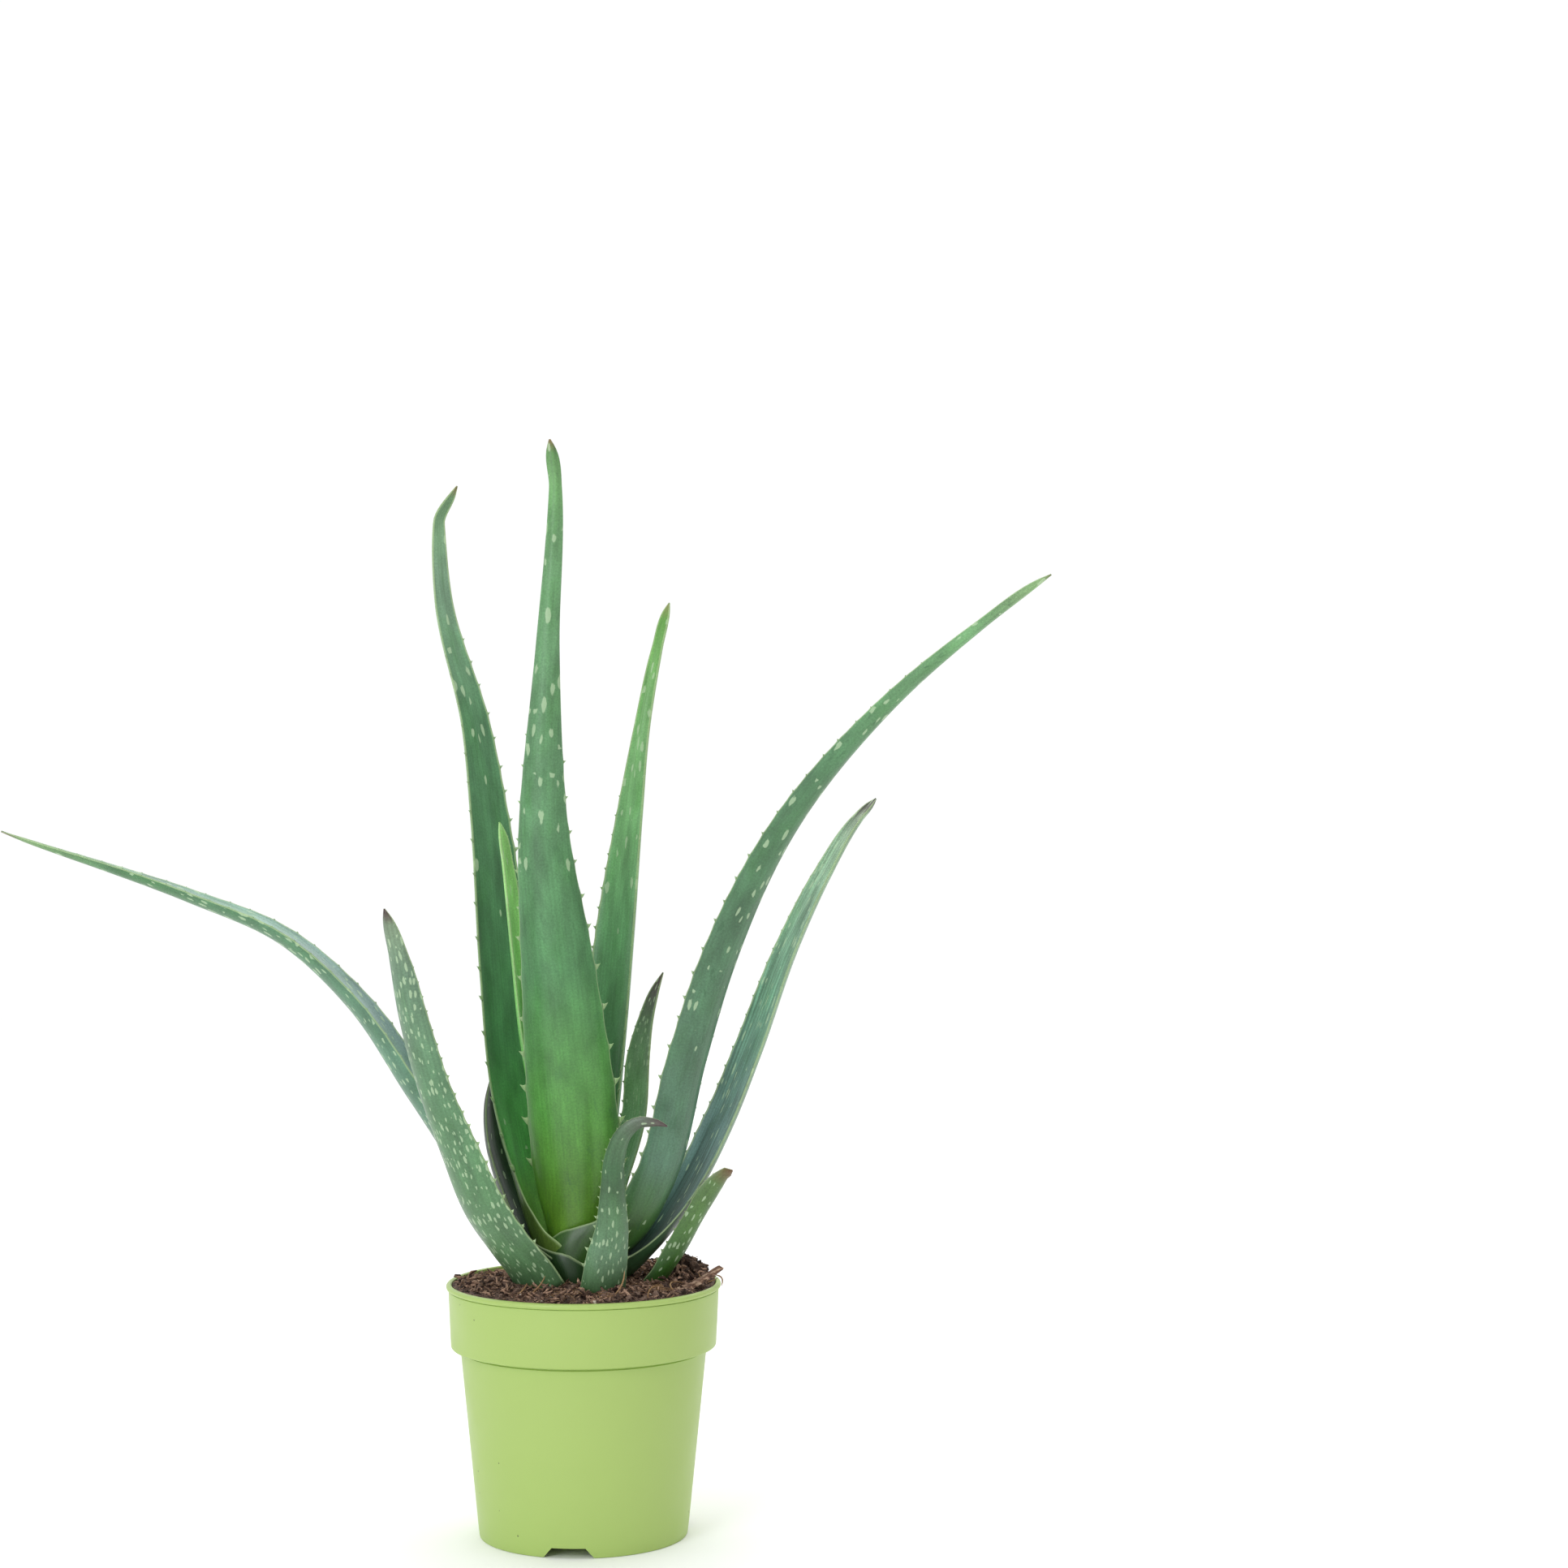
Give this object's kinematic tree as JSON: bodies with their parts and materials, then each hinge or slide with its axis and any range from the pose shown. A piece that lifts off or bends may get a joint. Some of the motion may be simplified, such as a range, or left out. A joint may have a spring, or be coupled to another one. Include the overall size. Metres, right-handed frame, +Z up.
{
  "type": "potted aloe plant",
  "caption": "Clump of fleshy, toothed aloe leaves, some upright and some arching, growing from soil in a stepped plastic nursery pot.",
  "frame": {"origin": "on the surface the pot stands on, under the middle of the whole object's outline seen from above (the arching leaves included), so it lies beside the pot's own axis", "axes": "+Z up; +X to the right, along the spread of the arching leaves, when the small front leaves face the viewer; +Y away from that viewer"},
  "size_m": [0.446, 0.1522, 0.4739],
  "materials": {
    "pot": "satin injection-moulded plastic",
    "soil": "loose peat and fibre potting soil",
    "stem": "rough",
    "wood_chip": "rough bark",
    "young_leaf": "waxy leaf skin, bright green",
    "leaf": "waxy leaf skin, mid green with pale flecks",
    "glaucous_leaf": "waxy leaf skin with a grey bloom"
  },
  "bodies": {
    "root": {"pot": "pot", "soil": "soil", "stem": "stem", "wood_chip": "wood_chip", "leaf_heart_young": "young_leaf", "leaf_back_right": "young_leaf", "leaf_front_tall": "leaf", "leaf_back_left_tall": "leaf", "leaf_right_arching": "glaucous_leaf", "leaf_left_small": "leaf", "leaf_back_right_small": "leaf", "leaf_right_lower": "glaucous_leaf", "leaf_left_arching": "leaf", "leaf_front_left": "glaucous_leaf", "leaf_front_small": "glaucous_leaf", "leaf_right_small": "young_leaf"}
  },
  "joints": []
}
